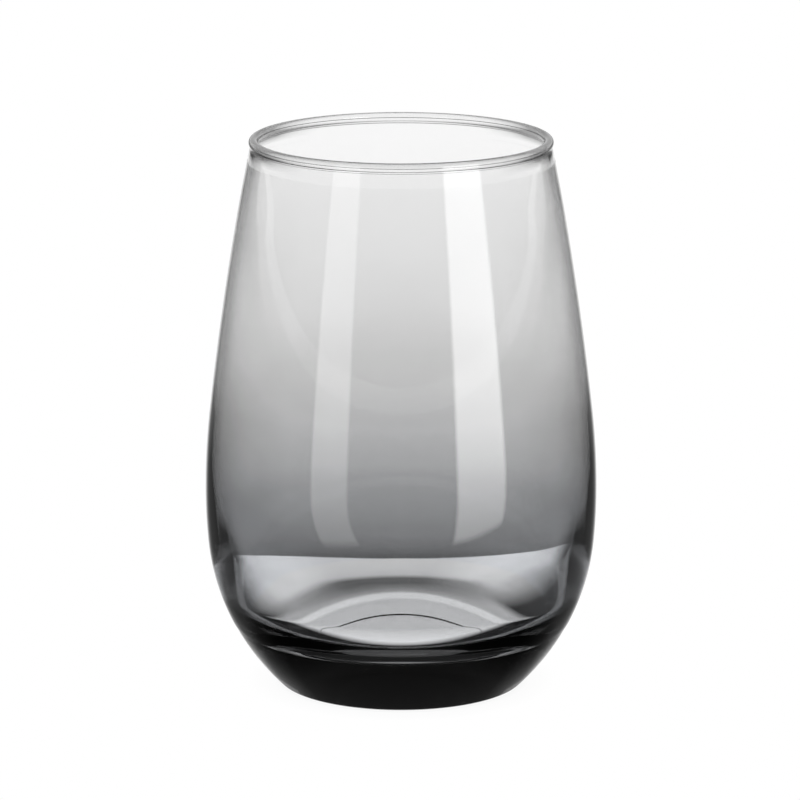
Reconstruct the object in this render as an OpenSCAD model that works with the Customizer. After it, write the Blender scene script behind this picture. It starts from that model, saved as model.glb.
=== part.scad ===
// Round-bellied tumbler with a heavy base, a beaded rim and a smoke-grey film on the outside.
// Millimetres and degrees. +Z is up the axis, and the origin is on the table, at the middle of the foot.

/* [Overall] */
// Height from the table to the top of the rim
height = 120; // [95:0.5:150]
// Outside diameter at the widest level
belly_diameter = 84.8; // [74:0.2:96]
// Height of the widest level above the table
belly_height = 42.5; // [34:0.5:52]

/* [Rim] */
// Outside diameter of the wall just under the rim bead
mouth_diameter = 65; // [56:0.2:72]
// Thickness of the round bead along the rim
bead_thickness = 2.1; // [1.8:0.1:3]
// Depth from the top of the rim to where the wall would start without its neck
bead_depth = 2.4; // [2:0.1:3.5]
// Radius of the soft hollow between the bead and the wall
neck_radius = 1.2; // [0.6:0.1:2.5]

/* [Wall] */
// Wall thickness just under the bead
rim_wall = 1.2; // [0.9:0.05:1.6]
// Wall thickness at the belly, from the widest level outside to the widest level inside
belly_wall = 2.45; // [1.8:0.05:3.5]
// How far the widest level inside lies above the widest level outside
inside_rise = 7.5; // [4:0.5:11]
// Radius of the curve that starts the taper above the belly
shoulder_radius = 156; // [120:1:200]
// Angle that the wall leans in at the end of that curve
shoulder_angle = 6.6; // [4.5:0.1:8]
// Radius of the curve just below the widest level outside
belly_radius = 120; // [90:1:160]
// Angle that the wall leans in at the end of that curve
belly_angle = 5; // [3:0.1:8]

/* [Base] */
// Outside diameter of the flat standing ring
foot_diameter = 51.2; // [44:0.2:58]
// Radius of the turn from the standing ring to the side
heel_radius = 1.7; // [1:0.1:4]
// Height of the floor inside, at the middle
floor_height = 13.2; // [8:0.2:18]
// Radius of the floor's shallow dish
floor_radius = 300; // [150:5:600]
// Radius of the corner between the floor and the wall inside
corner_radius = 6; // [3:0.5:12]
// Radius of the wall inside, from its widest level down to that corner
inside_radius = 110; // [90:1:140]

/* [Underside] */
// Width of the flat standing ring
ring_width = 7.5; // [4:0.5:12]
// Height of the small step inside the ring
recess_depth = 0.4; // [0.2:0.1:1.2]
// Rise of the underside from that step to the middle
dome_rise = 0.7; // [0.3:0.1:2]

/* [Smoke coat] */
// Thickness of the film
coat_thickness = 0.1; // [0.05:0.01:0.3]
// Height of the film's lower edge above the table
coat_bottom = 13; // [6:0.5:20]
// Bare band from the top of the rim down to the film's upper edge
coat_margin = 5; // [4:0.5:20]

/* [Hidden] */

// Largest gap between a curve and the chords that stand for it
chord_gap = 0.004;
// Sides of a full turn
turn_sides = 180;
glass_colour = [0.86, 0.88, 0.89, 0.35];
smoke_colour = [0.16, 0.16, 0.17, 0.6];

// Geometry in the half-plane of [radius, height]
function polar(r, angle) = r * [cos(angle), sin(angle)];
function bearing(v) = atan2(v[1], v[0]);
function chords(r, turn) = max(2, ceil(abs(turn) * PI / 180 * sqrt(abs(r) / (8 * chord_gap))));

// Points of an arc after its first one
function arc(centre, r, from, to) =
    let (n = chords(r, to - from))
    [for (i = [1 : n]) centre + polar(r, from + (to - from) * i / n)];

// Radius of the arc that leaves a point square to the given bearing and passes through another point.
// It is negative where the arc bends outwards.
function radius_through(start, angle, end) =
    let (way = end - start)
    -(way * way) / (2 * (polar(1, angle) * way));

// One of the two points where two circles cross
function crossing(c1, r1, c2, r2, side) =
    let (way = c2 - c1,
         apart = norm(way),
         unit = way / apart,
         along = (apart * apart + r1 * r1 - r2 * r2) / (2 * apart),
         across = sqrt(r1 * r1 - along * along))
    c1 + along * unit + side * across * [-unit[1], unit[0]];

function backwards(points) = [for (i = [len(points) - 1 : -1 : 0]) points[i]];

belly_r = belly_diameter / 2;
mouth_r = mouth_diameter / 2;
foot_r = foot_diameter / 2;
neck_z = height - bead_depth;

// Outside, above the widest level: a shoulder curve, then one long curve to the mouth
shoulder_c = [belly_r - shoulder_radius, belly_height];
shoulder_end = shoulder_c + polar(shoulder_radius, shoulder_angle);
mouth_edge = [mouth_r, neck_z];
wall_radius = radius_through(shoulder_end, shoulder_angle, mouth_edge);
wall_c = shoulder_end - polar(wall_radius, shoulder_angle);
mouth_lean = bearing((mouth_edge - wall_c) / wall_radius);

// Outside, below the widest level: a belly curve, then one curve down to the heel
belly_c = [belly_r - belly_radius, belly_height];
belly_end = belly_c + polar(belly_radius, -belly_angle);
heel_c = [foot_r, heel_radius];
heel_way = belly_end - heel_c;
side_radius = (heel_way * heel_way - heel_radius * heel_radius)
            / (2 * (heel_way * polar(1, -belly_angle) - heel_radius));
side_c = belly_end - polar(side_radius, -belly_angle);
heel_lean = bearing(heel_c - side_c);

// Inside, above its widest level
inside_r = belly_r - belly_wall;
inside_z = belly_height + inside_rise;
in_shoulder_c = [inside_r - shoulder_radius, inside_z];
in_shoulder_end = in_shoulder_c + polar(shoulder_radius, shoulder_angle);
in_wall_radius = radius_through(in_shoulder_end, shoulder_angle, mouth_edge - [rim_wall, 0]);
in_wall_c = in_shoulder_end - polar(in_wall_radius, shoulder_angle);

// Inside, below its widest level: the wall, the corner and the dished floor, each touching the next
in_side_c = [inside_r - inside_radius, inside_z];
floor_c = [0, floor_height + floor_radius];
corner_c = crossing(in_side_c, inside_radius - corner_radius, floor_c, floor_radius - corner_radius, -1);
corner_from = bearing(corner_c - in_side_c);
corner_to = bearing(corner_c - floor_c);

// Rim: a round bead on the middle of the wall, with a soft neck on each side
bead_r = bead_thickness / 2;
bead_z = height - bead_r;
bead_c = [mouth_r - rim_wall / 2 - (bead_z - neck_z) * tan(mouth_lean), bead_z];
neck_c = crossing(bead_c, bead_r + neck_radius, wall_c, abs(wall_radius + neck_radius), sign(wall_radius));
neck_lean = bearing((neck_c - wall_c) / wall_radius);
in_neck_c = crossing(bead_c, bead_r + neck_radius, in_wall_c, abs(in_wall_radius - neck_radius),
                     sign(in_wall_radius));
in_neck_lean = bearing((in_neck_c - in_wall_c) / in_wall_radius);

// Underside: a flat ring, a small step and a shallow dome
recess_r = foot_r - ring_width;
dome_r = recess_r - recess_depth;
dome_radius = (dome_r * dome_r + dome_rise * dome_rise) / (2 * dome_rise);
dome_c = [0, recess_depth + dome_rise - dome_radius];
dome_edge = 90 - asin(dome_r / dome_radius);

// The stretch of the outside that the film covers
coat_from = -asin((side_c[1] - coat_bottom) / side_radius);
coat_to = asin((height - coat_margin - wall_c[1]) / wall_radius);

// Outline of that stretch, or of a face at a distance outside it, from the bottom up
function coated_outline(out) = concat(
    [side_c + polar(side_radius + out, coat_from)],
    arc(side_c, side_radius + out, coat_from, -belly_angle),
    arc(belly_c, belly_radius + out, -belly_angle, 0),
    arc(shoulder_c, shoulder_radius + out, 0, shoulder_angle),
    arc(wall_c, wall_radius + out, shoulder_angle, coat_to));

underside_outline = concat(
    [dome_c + polar(dome_radius, 90)],
    arc(dome_c, dome_radius, 90, dome_edge),
    [[recess_r, 0], [foot_r, 0]]);

heel_outline = concat(
    arc(heel_c, heel_radius, -90, heel_lean),
    arc(side_c, side_radius, heel_lean, coat_from));

rim_outline = concat(
    arc(wall_c, wall_radius, coat_to, neck_lean),
    arc(neck_c, neck_radius, 180 + neck_lean, bearing(bead_c - neck_c)),
    arc(bead_c, bead_r, bearing(neck_c - bead_c), 360 + bearing(in_neck_c - bead_c)),
    arc(in_neck_c, neck_radius, bearing(bead_c - in_neck_c), in_neck_lean));

inside_outline = concat(
    arc(in_wall_c, in_wall_radius, in_neck_lean, shoulder_angle),
    arc(in_shoulder_c, shoulder_radius, shoulder_angle, 0),
    arc(in_side_c, inside_radius, 0, corner_from),
    arc(corner_c, corner_radius, corner_from, corner_to),
    arc(floor_c, floor_radius, corner_to, -90));

// The glass: base, wall and rim bead in one piece
module glass_body() {
    covered = coated_outline(0);
    color(glass_colour)
    rotate_extrude($fn = turn_sides)
    polygon(concat(
        underside_outline,
        heel_outline,
        [for (i = [1 : len(covered) - 1]) covered[i]],
        rim_outline,
        inside_outline));
}

// The film: it follows the outside of the glass from the level of the floor inside to below the rim
module smoke_coat() {
    color(smoke_colour)
    rotate_extrude($fn = turn_sides)
    polygon(concat(coated_outline(coat_thickness), backwards(coated_outline(0))));
}

glass_body();
smoke_coat();
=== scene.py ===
import math

import bmesh
import bpy
from mathutils import Matrix, Vector
from mathutils.geometry import intersect_sphere_sphere_2d


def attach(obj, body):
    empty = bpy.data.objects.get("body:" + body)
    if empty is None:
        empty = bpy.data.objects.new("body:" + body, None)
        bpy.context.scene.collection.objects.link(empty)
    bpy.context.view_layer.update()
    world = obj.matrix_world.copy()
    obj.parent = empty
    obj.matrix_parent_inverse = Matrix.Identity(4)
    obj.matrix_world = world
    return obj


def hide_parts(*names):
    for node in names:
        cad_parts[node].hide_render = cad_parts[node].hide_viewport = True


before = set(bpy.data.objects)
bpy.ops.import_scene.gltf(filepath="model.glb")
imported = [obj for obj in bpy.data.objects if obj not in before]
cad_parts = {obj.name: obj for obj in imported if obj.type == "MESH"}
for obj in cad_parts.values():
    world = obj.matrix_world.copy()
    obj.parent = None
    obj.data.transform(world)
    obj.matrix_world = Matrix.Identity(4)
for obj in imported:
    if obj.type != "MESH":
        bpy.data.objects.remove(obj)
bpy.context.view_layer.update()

# Glass body: one piece of clear soda-lime glass, pressed and blown in a mould on a machine.
# The heavy base, the round wall and the bead round the rim are one solid, and the rim is
# melted round by a flame. Sizes are in millimetres, in the half-plane of radius and height.
MM = 0.001
HEIGHT = 120.0
BELLY_R = 42.4
BELLY_Z = 42.5
MOUTH_R = 32.5
BEAD_DEPTH = 2.4
NECK_Z = HEIGHT - BEAD_DEPTH
BEAD_R = 1.05
NECK_R = 1.2
RIM_WALL = 1.2
BELLY_WALL = 2.45
INSIDE_RISE = 7.5
INSIDE_R = BELLY_R - BELLY_WALL
INSIDE_Z = BELLY_Z + INSIDE_RISE
SHOULDER_R = 156.0
SHOULDER_LEAN = math.radians(6.6)
BELLY_CURVE_R = 120.0
BELLY_LEAN = math.radians(5.0)
FOOT_R = 25.6
HEEL_R = 1.7
FLOOR_Z = 12.5
FLOOR_CURVE_R = 1200.0
CORNER_R = 12.0
INSIDE_CURVE_R = 110.0
RING_WIDTH = 7.5
RECESS_R = FOOT_R - RING_WIDTH
RECESS_Z = 0.08
DOME_RISE = 0.1
FILM_LOW = 13.0
FILM_MARGIN = 5.0
FILM_HIGH = HEIGHT - FILM_MARGIN

# fineness of the mesh: sides of a turn, gap under a chord, merged points, edges beside a rounded edge
SIDES = 192
CHORD_GAP = 0.0012
MERGE = 0.0005
EDGE_SUPPORT = 0.6
EDGE_ROUND = 0.03
EDGE_NEAR = 0.01

# look of the glass: how it bends light, its faint waves, the grey that shows where it is thick, and the
# painted shade along the edges of its bead
GLASS_IOR = 1.5
GLASS_TONE = (0.99, 0.99, 0.99, 1)
GLASS_GREY = (0.5, 0.5, 0.5, 1)
GLASS_DENSITY = 70.0
GLASS_WAVES = 70
GLASS_WAVE_DEPTH = 0.004
GLASS_SHEEN = [(0.4, 0.0), (0.7, 0.025)]
# painted shade: dark lines along the rim bead's edges, by height and by how edge-on the bead is seen
BEAD_FROM = 116.0
BEAD_TO = 117.5
BEAD_PAINTED_SHADE = [(0.22, 0.99), (0.38, 0.6), (0.53, 0.12), (1.0, 0.04)]


def way(angle):
    return Vector((math.cos(angle), math.sin(angle)))


def bearing(vector):
    return math.atan2(vector.y, vector.x)


def crossing(first, first_r, second, second_r):
    """Gives the lower of the two points where two circles cross."""
    points = intersect_sphere_sphere_2d(first, first_r, second, second_r)
    return min(points, key=lambda point: point.y)


def draw_arc(mesh, tip, centre, turn):
    """Swings a vertex of the outline about a centre, as a compass does, and gives the arc's last vertex."""
    radius = (Vector((tip.co.x, tip.co.z)) / MM - centre).length
    steps = max(3, math.ceil(abs(turn) * math.sqrt(radius / (8 * CHORD_GAP))))
    arc = bmesh.ops.spin(mesh, geom=[tip], cent=(centre.x * MM, 0, centre.y * MM), axis=(0, -1, 0),
                         angle=turn, steps=steps)
    return next(item for item in arc["geom_last"] if isinstance(item, bmesh.types.BMVert))


def draw_line(mesh, tip, r, z):
    corner = mesh.verts.new((r * MM, 0, z * MM))
    mesh.edges.new((tip, corner))
    return corner


def revolve(mesh):
    """Turns the outline once round the axis and closes it there."""
    bmesh.ops.spin(mesh, geom=mesh.verts[:] + mesh.edges[:], cent=(0, 0, 0), axis=(0, 0, 1),
                   angle=math.tau, steps=SIDES, use_merge=True)
    bmesh.ops.remove_doubles(mesh, verts=mesh.verts, dist=MERGE * MM)
    bmesh.ops.recalc_face_normals(mesh, faces=mesh.faces)
    for face in mesh.faces:
        face.smooth = True


def faces_out(face):
    """Says whether a face looks away from the axis."""
    middle = face.calc_center_median()
    return middle.x * face.normal.x + middle.y * face.normal.y > 0


def add_piece(name, mesh, materials):
    data = bpy.data.meshes.new(name)
    mesh.to_mesh(data)
    mesh.free()
    for material in materials:
        data.materials.append(material)
    piece = bpy.data.objects.new(name, data)
    bpy.context.scene.collection.objects.link(piece)
    return piece


# outside of the wall and the belly
shoulder_c = Vector((BELLY_R - SHOULDER_R, BELLY_Z))
shoulder_end = shoulder_c + SHOULDER_R * way(SHOULDER_LEAN)
mouth = Vector((MOUTH_R, NECK_Z))
rise = mouth - shoulder_end
wall_r = -rise.dot(rise) / (2 * way(SHOULDER_LEAN).dot(rise))
wall_c = shoulder_end - wall_r * way(SHOULDER_LEAN)
belly_c = Vector((BELLY_R - BELLY_CURVE_R, BELLY_Z))
belly_end = belly_c + BELLY_CURVE_R * way(-BELLY_LEAN)
heel_c = Vector((FOOT_R, HEEL_R))
drop = belly_end - heel_c
side_r = (drop.dot(drop) - HEEL_R ** 2) / (2 * (drop.dot(way(-BELLY_LEAN)) - HEEL_R))
side_c = belly_end - side_r * way(-BELLY_LEAN)
heel_lean = bearing(heel_c - side_c)
film_from = -math.asin((side_c.y - FILM_LOW) / side_r)
film_to = math.asin((FILM_HIGH - wall_c.y) / wall_r)

# inside of the bowl
in_shoulder_c = Vector((INSIDE_R - SHOULDER_R, INSIDE_Z))
in_shoulder_end = in_shoulder_c + SHOULDER_R * way(SHOULDER_LEAN)
rise = mouth - Vector((RIM_WALL, 0)) - in_shoulder_end
in_wall_r = -rise.dot(rise) / (2 * way(SHOULDER_LEAN).dot(rise))
in_wall_c = in_shoulder_end - in_wall_r * way(SHOULDER_LEAN)
in_side_c = Vector((INSIDE_R - INSIDE_CURVE_R, INSIDE_Z))
floor_c = Vector((0, FLOOR_Z + FLOOR_CURVE_R))
corner_c = crossing(in_side_c, INSIDE_CURVE_R - CORNER_R, floor_c, FLOOR_CURVE_R - CORNER_R)
corner_from = bearing(corner_c - in_side_c)
corner_to = bearing(corner_c - floor_c)

# bead and its necks
bead_z = HEIGHT - BEAD_R
bead_c = Vector((MOUTH_R - RIM_WALL / 2 - (bead_z - NECK_Z) * math.tan(bearing(mouth - wall_c)), bead_z))
neck_c = crossing(bead_c, BEAD_R + NECK_R, wall_c, wall_r + NECK_R)
neck_lean = bearing(neck_c - wall_c)
in_neck_c = crossing(bead_c, BEAD_R + NECK_R, in_wall_c, in_wall_r - NECK_R)
in_neck_lean = bearing(in_neck_c - in_wall_c)

# underside
dome_r = RECESS_R - RECESS_Z
dome_curve_r = (dome_r ** 2 + DOME_RISE ** 2) / (2 * DOME_RISE)
dome_c = Vector((0, RECESS_Z + DOME_RISE - dome_curve_r))
dome_turn = math.asin(dome_r / dome_curve_r)
dome_inner_turn = math.asin((dome_r - EDGE_SUPPORT) / dome_curve_r)

outline = bmesh.new()
tip = outline.verts.new((0, 0, (RECESS_Z + DOME_RISE) * MM))
tip = draw_arc(outline, tip, dome_c, -dome_inner_turn)
tip = draw_arc(outline, tip, dome_c, dome_inner_turn - dome_turn)
tip = draw_line(outline, tip, RECESS_R, 0)
tip = draw_line(outline, tip, RECESS_R + EDGE_SUPPORT, 0)
tip = draw_line(outline, tip, FOOT_R - EDGE_SUPPORT, 0)
tip = draw_line(outline, tip, FOOT_R, 0)
tip = draw_arc(outline, tip, heel_c, math.pi / 2 + heel_lean)
tip = draw_arc(outline, tip, side_c, film_from - heel_lean)
tip = draw_arc(outline, tip, side_c, -BELLY_LEAN - film_from)
tip = draw_arc(outline, tip, belly_c, BELLY_LEAN)
tip = draw_arc(outline, tip, shoulder_c, SHOULDER_LEAN)
tip = draw_arc(outline, tip, wall_c, film_to - SHOULDER_LEAN)
tip = draw_arc(outline, tip, wall_c, neck_lean - film_to)
tip = draw_arc(outline, tip, neck_c, bearing(bead_c - neck_c) - math.pi - neck_lean)
tip = draw_arc(outline, tip, bead_c, math.tau + bearing(in_neck_c - bead_c) - bearing(neck_c - bead_c))
tip = draw_arc(outline, tip, in_neck_c, in_neck_lean - bearing(bead_c - in_neck_c))
tip = draw_arc(outline, tip, in_wall_c, SHOULDER_LEAN - in_neck_lean)
tip = draw_arc(outline, tip, in_shoulder_c, -SHOULDER_LEAN)
tip = draw_arc(outline, tip, in_side_c, corner_from)
tip = draw_arc(outline, tip, corner_c, corner_to - corner_from)
tip = draw_arc(outline, tip, floor_c, -math.pi / 2 - corner_to)
revolve(outline)

# both edges of the step under the foot, rounded by the flame
step_edges = []
for edge in outline.edges:
    start_r, end_r = (vertex.co.xy.length / MM for vertex in edge.verts)
    level = max(vertex.co.z for vertex in edge.verts) / MM
    round_axis = abs(start_r - end_r) < EDGE_NEAR and level < RECESS_Z + DOME_RISE
    if round_axis and min(abs(start_r - RECESS_R), abs(start_r - dome_r)) < EDGE_NEAR:
        step_edges.append(edge)
bmesh.ops.bevel(outline, geom=step_edges, offset=EDGE_ROUND * MM, offset_type="OFFSET", segments=3,
                profile=0.5, affect="EDGES", material=-1)
for face in outline.faces:
    face.smooth = True

# the faces that the film is bonded to, where light goes straight on
bonded = outline.faces.layers.float.new("bonded")
for face in outline.faces:
    if faces_out(face) and FILM_LOW * MM < face.calc_center_median().z < FILM_HIGH * MM:
        face[bonded] = 1.0


def new_material(name):
    material = bpy.data.materials.new(name)
    material.use_nodes = True
    return material, material.node_tree.nodes, material.node_tree.links


def feed(links, socket, value):
    """Links a socket to another node's output, or sets it to a plain value."""
    if isinstance(value, bpy.types.NodeSocket):
        links.new(value, socket)
    else:
        socket.default_value = value


def place_on_piece(nodes, links):
    """Adds the point on the piece, and the same point as its three lengths."""
    place = nodes.new("ShaderNodeTexCoord").outputs["Object"]
    split = nodes.new("ShaderNodeSeparateXYZ")
    links.new(place, split.inputs[0])
    return place, split.outputs


def number(nodes, links, operation, *values):
    """Adds one step of arithmetic."""
    node = nodes.new("ShaderNodeMath")
    node.operation = operation
    for socket, value in zip(node.inputs, values):
        feed(links, socket, value)
    return node.outputs[0]


def span(nodes, links, value, low, high):
    """Adds a node that turns a length from low to high into 0 to 1."""
    node = nodes.new("ShaderNodeMapRange")
    node.inputs["From Min"].default_value = low
    node.inputs["From Max"].default_value = high
    links.new(value, node.inputs["Value"])
    return node.outputs["Result"]


def shade(nodes, links, value, levels):
    """Adds a ramp that gives one grey at each level of a value from 0 to 1."""
    node = nodes.new("ShaderNodeValToRGB")
    stops = node.color_ramp.elements
    while len(stops) < len(levels):
        stops.new(0.5)
    for stop, (level, grey) in zip(stops, levels):
        stop.position = level
        stop.color = (grey, grey, grey, 1)
    links.new(value, node.inputs["Fac"])
    return node.outputs["Color"]


def blend(nodes, links, factor, first, second, kind="MIX"):
    """Adds a mix of two colours."""
    node = nodes.new("ShaderNodeMix")
    node.data_type = "RGBA"
    node.blend_type = kind
    colours = [socket for socket in node.inputs if socket.type == "RGBA"]
    for socket, value in zip([node.inputs["Factor"]] + colours, (factor, first, second)):
        feed(links, socket, value)
    return next(socket for socket in node.outputs if socket.type == "RGBA")


def waviness(nodes, links, place, scale, depth, sheen):
    """Adds the faint waves that a mould and a flame leave in a surface, and the dull spots between them."""
    waves = nodes.new("ShaderNodeTexNoise")
    waves.inputs["Scale"].default_value = scale
    waves.inputs["Detail"].default_value = 1.0
    links.new(place, waves.inputs["Vector"])
    bump = nodes.new("ShaderNodeBump")
    bump.inputs["Strength"].default_value = 1.0
    bump.inputs["Distance"].default_value = depth * MM
    links.new(waves.outputs["Fac"], bump.inputs["Height"])
    shader = nodes["Principled BSDF"]
    links.new(shade(nodes, links, waves.outputs["Fac"], sheen), shader.inputs["Roughness"])
    links.new(bump.outputs["Normal"], shader.inputs["Normal"])


def join_shaders(nodes, links, factor, first, second):
    """Mixes two shaders, and makes the mix the material's surface."""
    surface = nodes.new("ShaderNodeMixShader")
    for socket, value in zip(surface.inputs, (factor, first.outputs[0], second.outputs[0])):
        links.new(value, socket)
    links.new(surface.outputs[0], nodes["Material Output"].inputs["Surface"])


def clear_glass():
    material, nodes, links = new_material("clear_glass")
    shader = nodes["Principled BSDF"]
    shader.inputs["IOR"].default_value = GLASS_IOR
    shader.inputs["Transmission Weight"].default_value = 1.0
    place, lengths = place_on_piece(nodes, links)
    waviness(nodes, links, place, GLASS_WAVES, GLASS_WAVE_DEPTH, GLASS_SHEEN)

    # painted shade: the base colour darkens along the bead's edges, where it is seen edge-on, for the dark
    # of the room that the bead bends in
    on_bead = span(nodes, links, lengths["Z"], BEAD_FROM * MM, BEAD_TO * MM)
    grazing = nodes.new("ShaderNodeLayerWeight")
    lines = shade(nodes, links, grazing.outputs["Facing"], BEAD_PAINTED_SHADE)
    links.new(blend(nodes, links, on_bead, GLASS_TONE, lines), shader.inputs["Base Color"])

    passing = nodes.new("ShaderNodeBsdfTransparent")
    under_film = nodes.new("ShaderNodeAttribute")
    under_film.attribute_name = "bonded"
    join_shaders(nodes, links, under_film.outputs["Fac"], shader, passing)
    mass = nodes.new("ShaderNodeVolumeAbsorption")
    mass.inputs["Color"].default_value = GLASS_GREY
    mass.inputs["Density"].default_value = GLASS_DENSITY
    links.new(mass.outputs[0], nodes["Material Output"].inputs["Volume"])
    return material


glass = add_piece("glass", outline, [clear_glass()])
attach(glass, "root")
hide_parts("glass_body")

# Smoke film: a see-through grey lacquer, sprayed on the outside of the glass and baked hard.
# It is darkest at the belly, thins out to nothing below the rim, and ends low down on a slanting
# line. Its inner face is bonded to the glass, so light only bends and mirrors at its outer face.
FILM = 0.1
FILM_SEAT = 0.01
FILM_EDGE = 0.02
FADE_HIGH = 12.0
FADE_LOW = 1.0
SHARP_EDGE = math.radians(30)

# share of the light that the film lets through, by height, at the front and at the back
UPPER_FILM = [(45, 0.712), (51, 0.735), (63, 0.777), (75, 0.893), (87, 0.942), (99, 0.957), (107, 0.985),
              (115, 1.0)]
FRONT_FILM = [(13, 1.0), (18, 0.97), (22, 0.93), (25, 0.88), (28, 0.82), (31, 0.735), (36, 0.73),
              (40, 0.715)] + UPPER_FILM
BACK_FILM = [(30, 0.585), (33, 0.595), (39, 0.653)] + UPPER_FILM
BACK_FROM = -0.64
BACK_TO = -0.09

# darker low down at the back, by height above a foot line that rises towards the sides
LOW_BACK_FOOT = 13.3
LOW_BACK_SIDE_RISE = 5.5
LOW_BACK_DEPTH = 24.0
LOW_BACK_SHARE = [(0.1, 0.31), (0.7, 0.358), (2.3, 0.45), (3.9, 0.513), (5.3, 0.598), (6.8, 0.669), (9.6, 0.778),
        (12.6, 0.841), (17, 0.882), (22, 1.0)]

# the slanting line where the lacquer ends, lowest at the back
END_LOW = 12.9
END_RISE = 13.7
END_TILT = 1.5
END_SOFT = 0.12

# the cool tone low down, what a ray that grazes the film loses on its longer way, and painted shade that
# darkens the film further where it is seen edge-on
COOL_TONE = (0.93, 0.955, 1.0, 1.0)
COOL_HEIGHTS = [(30 / HEIGHT, 1.0), (58 / HEIGHT, 0.0)]
LONGER_WAY = [(0.2, 0.0), (0.4, 0.5), (0.55, 0.8), (0.65, 0.7), (0.8, 0.3)]
LONGER_FROM = 33.0
LONGER_TO = 42.0
EDGE_ON_PAINTED_SHADE = [(0.4, 1.0), (0.55, 0.85), (0.62, 0.65), (0.7, 0.32), (0.8, 0.2), (1.0, 0.12)]

# waves and spray mist in the lacquer
FILM_WAVES = 90
FILM_WAVE_DEPTH = 0.003
FILM_SHEEN = [(0.4, 0.0), (0.7, 0.03)]
MIST_SCALE = 700.0
MIST = [(0.3, 0.985), (0.7, 1.0)]

skin = bmesh.new()
start = side_c + (side_r + FILM_SEAT) * way(film_from)
tip = skin.verts.new((start.x * MM, 0, start.y * MM))
tip = draw_arc(skin, tip, side_c, -BELLY_LEAN - film_from)
tip = draw_arc(skin, tip, belly_c, BELLY_LEAN)
tip = draw_arc(skin, tip, shoulder_c, SHOULDER_LEAN)
tip = draw_arc(skin, tip, wall_c, film_to - SHOULDER_LEAN)
end = wall_c + (wall_r + FILM) * way(film_to)
tip = draw_line(skin, tip, end.x, end.y)
tip = draw_arc(skin, tip, wall_c, SHOULDER_LEAN - film_to)
tip = draw_arc(skin, tip, shoulder_c, -SHOULDER_LEAN)
tip = draw_arc(skin, tip, belly_c, -BELLY_LEAN)
tip = draw_arc(skin, tip, side_c, film_from + BELLY_LEAN)
skin.edges.new((tip, skin.verts[:][0]))

# the outer face comes down to a thin edge at the top and at the bottom
for vertex in skin.verts:
    r, z = vertex.co.x / MM, vertex.co.z / MM
    centre, radius = (side_c, side_r) if z < BELLY_Z else (wall_c, wall_r)
    outwards = Vector((r, z)) - centre
    if outwards.length > radius + 0.5 * FILM:
        thin = max((z - FILM_HIGH + FADE_HIGH) / FADE_HIGH, (FILM_LOW + FADE_LOW - z) / FADE_LOW, 0.0)
        inset = (FILM - FILM_EDGE) * thin * thin * (3 - 2 * thin)
        moved = centre + outwards.normalized() * (outwards.length - inset)
        vertex.co.x, vertex.co.z = moved.x * MM, moved.y * MM
revolve(skin)
for edge in skin.edges:
    if len(edge.link_faces) == 2 and edge.calc_face_angle() > SHARP_EDGE:
        edge.smooth = False
for face in skin.faces:
    if not faces_out(face):
        face.material_index = 1


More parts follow.
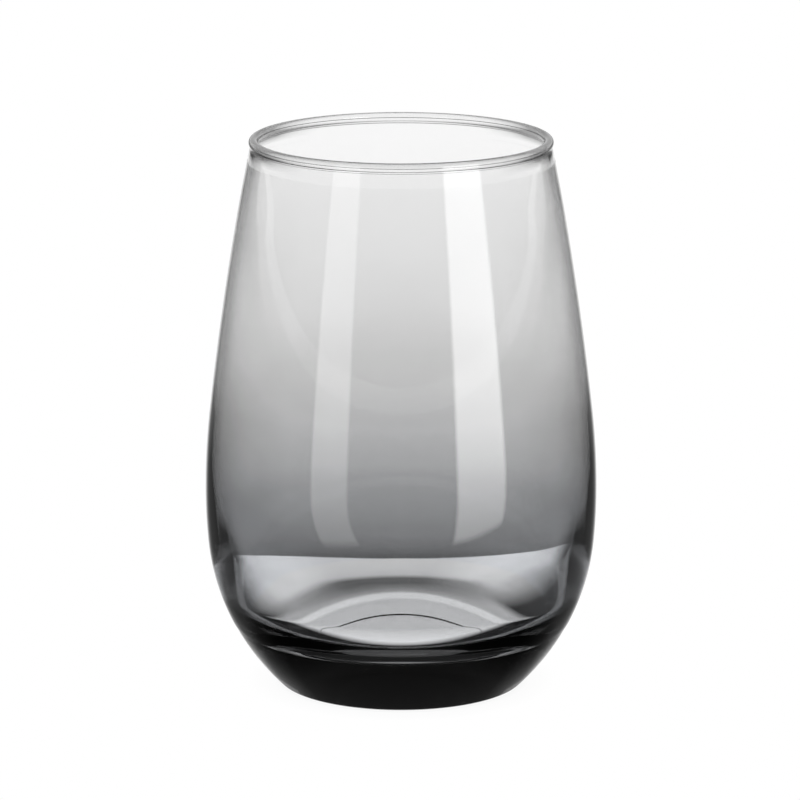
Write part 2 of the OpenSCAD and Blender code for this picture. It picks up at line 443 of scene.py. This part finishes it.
def smoke_film():
    material, nodes, links = new_material("smoke_film")
    shader = nodes["Principled BSDF"]
    shader.inputs["IOR"].default_value = GLASS_IOR
    shader.inputs["Transmission Weight"].default_value = 1.0
    place, lengths = place_on_piece(nodes, links)
    waviness(nodes, links, place, FILM_WAVES, FILM_WAVE_DEPTH, FILM_SHEEN)
    height = span(nodes, links, lengths["Z"], 0, HEIGHT * MM)

    def film_tint(value, levels, full):
        """A surface takes the root of its colour from the light, so the colour is the share squared."""
        return shade(nodes, links, value, [(level / full, share ** 2) for level, share in levels])

    def multiply(first, second):
        return blend(nodes, links, 1.0, first, second, "MULTIPLY")

    # which way the surface lies from the axis
    flat = nodes.new("ShaderNodeVectorMath")
    flat.operation = "MULTIPLY"
    flat.inputs[1].default_value = (1, 1, 0)
    around = nodes.new("ShaderNodeVectorMath")
    around.operation = "NORMALIZE"
    side = nodes.new("ShaderNodeSeparateXYZ")
    links.new(place, flat.inputs[0])
    links.new(flat.outputs[0], around.inputs[0])
    links.new(around.outputs[0], side.inputs[0])

    # darker low down at the back, above a line that rises towards the sides
    across = number(nodes, links, "MULTIPLY", side.outputs["X"], side.outputs["X"])
    low_back_foot = number(nodes, links, "MULTIPLY_ADD", across, LOW_BACK_SIDE_RISE * MM, LOW_BACK_FOOT * MM)
    depth = number(nodes, links, "SUBTRACT", lengths["Z"], low_back_foot)
    low_back = film_tint(span(nodes, links, depth, 0, LOW_BACK_DEPTH * MM), LOW_BACK_SHARE, LOW_BACK_DEPTH)
    back = multiply(film_tint(height, BACK_FILM, HEIGHT), low_back)

    lean = number(nodes, links, "MULTIPLY_ADD", side.outputs["X"], END_TILT * MM, END_RISE * MM)
    forwards = number(nodes, links, "SUBTRACT", 1.0, side.outputs["Y"])
    end_line = number(nodes, links, "MULTIPLY_ADD", forwards, lean, END_LOW * MM)
    above = number(nodes, links, "SUBTRACT", lengths["Z"], end_line)
    covered = span(nodes, links, above, -END_SOFT * MM, END_SOFT * MM)
    back = blend(nodes, links, covered, (1.0, 1.0, 1.0, 1.0), back)

    at_back = span(nodes, links, side.outputs["Y"], BACK_FROM, BACK_TO)
    tint = blend(nodes, links, at_back, film_tint(height, FRONT_FILM, HEIGHT), back)
    low = shade(nodes, links, height, COOL_HEIGHTS)
    tint = blend(nodes, links, low, tint, COOL_TONE, "MULTIPLY")

    grazing = nodes.new("ShaderNodeLayerWeight")
    longer = shade(nodes, links, grazing.outputs["Facing"], LONGER_WAY)
    on_wall = span(nodes, links, lengths["Z"], LONGER_FROM * MM, LONGER_TO * MM)
    longer = number(nodes, links, "MULTIPLY", longer, on_wall)
    tint = blend(nodes, links, longer, tint, multiply(multiply(tint, tint), tint))
    # painted shade: darker still where the film is seen edge-on
    tint = multiply(tint, shade(nodes, links, grazing.outputs["Facing"], EDGE_ON_PAINTED_SHADE))

    mist = nodes.new("ShaderNodeTexNoise")
    mist.inputs["Scale"].default_value = MIST_SCALE
    mist.inputs["Detail"].default_value = 3.0
    links.new(place, mist.inputs["Vector"])
    tint = multiply(tint, shade(nodes, links, mist.outputs["Fac"], MIST))
    links.new(tint, shader.inputs["Base Color"])
    return material


def film_seat():
    material, nodes, links = new_material("film_seat")
    nodes.remove(nodes["Principled BSDF"])
    passing = nodes.new("ShaderNodeBsdfTransparent")
    links.new(passing.outputs[0], nodes["Material Output"].inputs["Surface"])
    return material


film = add_piece("film", skin, [smoke_film(), film_seat()])
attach(film, "root")
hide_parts("smoke_coat")

# Table: a white board, much larger than the picture, that the glass stands on. Its light is painted:
# the camera sees it white, with a painted faint shadow round the foot, and the glass sees painted shade
# round and behind the foot, painted light under the base and a painted reflection. Lengths are in
# millimetres.
TABLE_R = 6000.0
TABLE_GAP = 0.05
TABLE_WHITE = (0.9, 0.9, 0.9, 1)
NEAR_R = 100.0
# painted faint shadow round the foot, as the camera sees it
CONTACT = [(0.25, 0.9), (0.28, 0.97), (0.34, 1.0)]

# painted shade in a ring round the foot, and painted light and shade in a wedge, on a turn from straight
# behind the glass (0) to straight before it (1)
LIGHT_SHIFT = 4.0
RING_SHADE = [(0.32, 1.0), (0.342, 0.5), (0.365, 0.27), (0.40, 0.27), (0.425, 0.65), (0.45, 1.0)]
RING_TURN = [(0.08, 1.0), (0.2, 0.55), (0.25, 0.1)]
FRONT_LIGHT = [(0.3, 0.45), (0.5, 1.2)]
WEDGE = [(0.08, 0.93), (0.15, 1.2), (0.2, 1.1), (0.23, 0.65), (0.252, 0.3), (0.27, 0.07),
         (0.42, 0.03), (0.55, 0.2)]
WEDGE_FROM = 31.0
WEDGE_TO = 35.0

# even light from EVEN_FROM outwards, which falls off far away
EVEN_FROM = 95.0
EVEN_TO = 115.0
FAR_R = 2000.0
FAR_LIGHT = [(0.45, 1.0), (0.8, 0.03)]

# painted light that comes through the base to the table under it, with a bowed front edge
UNDER_BASE = [(0.278, 1.0), (0.286, 0.0)]
BOW_RISE = 25.0
BOW_HALF = 23.0
BOW_BACK = 40.0
BASE_LIGHT = [(0.5, 0.02), (0.7, 2.1)]

# painted reflection of what the wall mirrors: a lane of bright table behind the glass that widens away from
# it
LANE_FROM = -60.0
LANE_HALF = 33.0
LANE_SPREAD = 0.32
LANE_EDGE = 2.0
LANE = [(0.425, 1.0), (0.5, 0.65), (0.55, 0.45), (0.625, 0.2), (0.75, 0.12)]
LANE_OPEN_FROM = 200.0
LANE_OPEN_TO = 320.0
LANE_OPEN = 0.3
LANE_START = 40.0
LANE_AHEAD = [(0.25, 0.08), (0.4, 0.35), (0.55, 1.0)]

board = bmesh.new()
bmesh.ops.create_circle(board, cap_ends=True, radius=TABLE_R * MM, segments=96)
bmesh.ops.translate(board, verts=board.verts, vec=(0, 0, -TABLE_GAP * MM))


def mix(nodes, links, factor, first, second):
    """Adds a mix of two numbers."""
    node = nodes.new("ShaderNodeMix")
    for name, value in (("Factor", factor), ("A", first), ("B", second)):
        feed(links, node.inputs[name], value)
    return node.outputs["Result"]


def times(nodes, links, first, *others):
    product = first
    for value in others:
        product = number(nodes, links, "MULTIPLY", product, value)
    return product


def ray_kinds(nodes, links):
    """Adds the kinds of ray, and a 1 for a ray that a surface mirrors without glass in its way."""
    rays = nodes.new("ShaderNodeLightPath").outputs
    bounced = number(nodes, links, "SUBTRACT", rays["Is Glossy Ray"], rays["Is Transmission Ray"])
    return rays, number(nodes, links, "MAXIMUM", bounced, 0.0)


def white_board():
    material, nodes, links = new_material("white_board")
    shader = nodes["Principled BSDF"]
    shader.inputs["Base Color"].default_value = TABLE_WHITE
    place, lengths = place_on_piece(nodes, links)
    across, along = lengths["X"], lengths["Y"]

    def away_from(y):
        node = nodes.new("ShaderNodeVectorMath")
        node.operation = "DISTANCE"
        node.inputs[1].default_value = (0, y * MM, 0)
        links.new(place, node.inputs[0])
        return node.outputs["Value"]

    away = away_from(0)
    near = span(nodes, links, away, 0, NEAR_R * MM)
    beside = number(nodes, links, "ADD", across, LIGHT_SHIFT * MM)
    beside = number(nodes, links, "ABSOLUTE", beside)
    turn = number(nodes, links, "ARCTAN2", beside, along)
    turn = span(nodes, links, turn, 0, math.pi)

    ring = span(nodes, links, away_from(-LIGHT_SHIFT), 0, NEAR_R * MM)
    ring = shade(nodes, links, ring, RING_SHADE)
    ring = mix(nodes, links, shade(nodes, links, turn, RING_TURN), 1.0, ring)
    front = span(nodes, links, along, -NEAR_R * MM, NEAR_R * MM)
    front = shade(nodes, links, front, FRONT_LIGHT)
    beyond_foot = span(nodes, links, away, WEDGE_FROM * MM, WEDGE_TO * MM)
    wedge = mix(nodes, links, beyond_foot, 1.0, shade(nodes, links, turn, WEDGE))
    far = span(nodes, links, away, 0, FAR_R * MM)
    far = shade(nodes, links, far, FAR_LIGHT)
    even = span(nodes, links, away, EVEN_FROM * MM, EVEN_TO * MM)
    light = mix(nodes, links, even, times(nodes, links, ring, front, wedge), far)

    bow = times(nodes, links, across, across, BOW_RISE / (BOW_HALF ** 2 * MM))
    bowed = number(nodes, links, "SUBTRACT", along, bow)
    bowed = span(nodes, links, bowed, -BOW_BACK * MM, 0)
    under = shade(nodes, links, near, UNDER_BASE)
    light = mix(nodes, links, under, light, shade(nodes, links, bowed, BASE_LIGHT))

    lane = number(nodes, links, "MAXIMUM", along, LANE_FROM * MM)
    lane = number(nodes, links, "MULTIPLY_ADD", lane, LANE_SPREAD, LANE_HALF * MM)
    aside = number(nodes, links, "ABSOLUTE", across)
    aside = number(nodes, links, "DIVIDE", aside, lane)
    aside = span(nodes, links, aside, 0, LANE_EDGE)
    aside = shade(nodes, links, aside, LANE)
    opened = number(nodes, links, "MAXIMUM", aside, LANE_OPEN)
    opening = span(nodes, links, along, LANE_OPEN_FROM * MM, LANE_OPEN_TO * MM)
    aside = mix(nodes, links, opening, aside, opened)
    ahead = span(nodes, links, along, -LANE_START * MM, LANE_START * MM)
    ahead = shade(nodes, links, ahead, LANE_AHEAD)
    rays, bounced = ray_kinds(nodes, links)
    light = mix(nodes, links, bounced, light, times(nodes, links, aside, ahead, far))

    glow = nodes.new("ShaderNodeEmission")
    contact = shade(nodes, links, near, CONTACT)
    links.new(mix(nodes, links, rays["Is Camera Ray"], light, contact), glow.inputs["Strength"])
    by_glass = number(nodes, links, "MAXIMUM", rays["Is Transmission Ray"], rays["Is Glossy Ray"])
    by_eye = number(nodes, links, "MAXIMUM", rays["Is Camera Ray"], by_glass)
    join_shaders(nodes, links, by_eye, shader, glow)
    return material


table = add_piece("table", board, [white_board()])

# Shade sheet: a level dark sheet with a hole for the rim, over the table, put there as painted shade.
# It makes the room dark above the thick base, with a faint glow of its own, and is seen from below only,
# and only in the glass.
FLAG_Z = 115.0
FLAG_HOLE = 34.0
FLAG_R = 3000.0
FLAG_GLOW = 0.012

card = bmesh.new()
bmesh.ops.create_circle(card, cap_ends=False, radius=FLAG_HOLE * MM, segments=96)
bmesh.ops.translate(card, verts=card.verts, vec=(0, 0, FLAG_Z * MM))
grown = bmesh.ops.extrude_edge_only(card, edges=card.edges[:])
outer = [item for item in grown["geom"] if isinstance(item, bmesh.types.BMVert)]
bmesh.ops.scale(card, verts=outer, vec=(FLAG_R / FLAG_HOLE, FLAG_R / FLAG_HOLE, 1))
bmesh.ops.recalc_face_normals(card, faces=card.faces)
if card.faces[:][0].normal.z < 0:
    bmesh.ops.reverse_faces(card, faces=card.faces)


def painted_shade_sheet():
    material, nodes, links = new_material("painted_shade_sheet")
    nodes.remove(nodes["Principled BSDF"])
    face = nodes.new("ShaderNodeNewGeometry")
    passing = nodes.new("ShaderNodeBsdfTransparent")
    dark_face = nodes.new("ShaderNodeEmission")
    dark_face.inputs["Strength"].default_value = FLAG_GLOW
    join_shaders(nodes, links, face.outputs["Backfacing"], passing, dark_face)
    return material


shade_sheet = add_piece("shade_sheet", card, [painted_shade_sheet()])
shade_sheet.visible_camera = False
shade_sheet.visible_glossy = False
shade_sheet.visible_diffuse = False
shade_sheet.visible_shadow = False

# Softboxes: two upright panels of white cloth with lamps behind them, on the table in front of the
# glass to the left and to the right. They give the two bright strips on the wall, which fade at the
# panels' edges. The cloth bows out low down, and its foot may slant.
BOX_AWAY = 165.0
BOX_HIGH = 200.0
BOW_BELOW = 30.0
SLANT_BELOW = 60.0
BOX_SIDE = 0.08
BOX_TALL = [(0.0, 0.0), (0.03, 0.5), (0.12, 0.62), (0.25, 0.85), (0.36, 1.0), (0.48, 0.85), (0.6, 0.68),
            (0.9, 0.65), (1.0, 0.0)]


def softbox(name, turn, inner, outer, flare, slant, strength):
    panel = bmesh.new()
    panel.loops.layers.uv.new("UVMap")
    bmesh.ops.create_grid(panel, x_segments=8, y_segments=40, size=0.5, calc_uvs=True)
    for vertex in panel.verts:
        side, level = vertex.co.x + 0.5, (vertex.co.y + 0.5) * BOX_HIGH
        bow = flare * max(0.0, 1 - level / BOW_BELOW) ** 2
        lift = slant * side * max(0.0, 1 - level / SLANT_BELOW)
        vertex.co = ((inner + side * (outer - inner) + bow) * MM, -BOX_AWAY * MM, (level + lift) * MM)
    bmesh.ops.rotate(panel, verts=panel.verts, matrix=Matrix.Rotation(math.radians(turn), 3, "Z"))

    material, nodes, links = new_material(name)
    nodes.remove(nodes["Principled BSDF"])
    glow = nodes.new("ShaderNodeEmission")
    place = nodes.new("ShaderNodeTexCoord")
    split = nodes.new("ShaderNodeSeparateXYZ")
    links.new(place.outputs["UV"], split.inputs[0])
    wide = shade(nodes, links, split.outputs["X"],
                 [(0.0, 0.0), (BOX_SIDE, strength), (1 - BOX_SIDE, strength), (1.0, 0.0)])
    tall = shade(nodes, links, split.outputs["Y"], BOX_TALL)
    links.new(times(nodes, links, wide, tall), glow.inputs["Strength"])
    links.new(glow.outputs[0], nodes["Material Output"].inputs["Surface"])
    box = add_piece(name, panel, [material])
    box.visible_camera = False
    box.visible_transmission = False


softbox("softbox_left", turn=-39.7, inner=38, outer=-24, flare=22, slant=0, strength=3.4)
softbox("softbox_right", turn=43, inner=-45, outer=41, flare=-8, slant=12, strength=7.2)

# Studio: a white room with a dark ceiling, lit evenly by its walls.
# What the glass mirrors is bright only behind it, and the camera sees the walls plain white.
CEILING = [(0.53, 1.0), (0.7, 0.03)]
BACK_WALL = [(0.45, 0.015), (0.95, 1.0)]

world = bpy.data.worlds.new("studio")
world.use_nodes = True
nodes = world.node_tree.nodes
links = world.node_tree.links
nodes["Background"].inputs["Color"].default_value = (1, 1, 1, 1)
room = nodes.new("ShaderNodeTexCoord")
split = nodes.new("ShaderNodeSeparateXYZ")
links.new(room.outputs["Generated"], split.inputs[0])
walls = shade(nodes, links, split.outputs["Z"], CEILING)
back_wall = shade(nodes, links, span(nodes, links, split.outputs["Y"], -1, 1), BACK_WALL)
rays, bounced = ray_kinds(nodes, links)
light = mix(nodes, links, bounced, walls, times(nodes, links, walls, back_wall))
light = number(nodes, links, "MAXIMUM", light, rays["Is Camera Ray"])
links.new(light, nodes["Background"].inputs["Strength"])

scene = bpy.context.scene
scene.world = world
scene.view_settings.view_transform = "Standard"
scene.cycles.max_bounces = 32
scene.cycles.transmission_bounces = 32
scene.cycles.glossy_bounces = 16
scene.cycles.transparent_max_bounces = 64

# Camera: a long lens about a metre in front of the glass, a little above it and tilted down to it.
# It stands free on a tripod. Lengths are in millimetres, and the tilt is in degrees.
LENS = 227.5
SENSOR = 36.0
CAMERA_X = -0.24
CAMERA_Y = -1067.0
CAMERA_Z = 308.0
CAMERA_TILT = 12.97

lens = bpy.data.cameras.new("camera")
lens.lens = LENS
lens.sensor_width = SENSOR
lens.clip_start = 0.05
camera = bpy.data.objects.new("camera", lens)
camera.location = (CAMERA_X * MM, CAMERA_Y * MM, CAMERA_Z * MM)
camera.rotation_euler = (math.radians(90 - CAMERA_TILT), 0, 0)
scene.collection.objects.link(camera)
scene.camera = camera
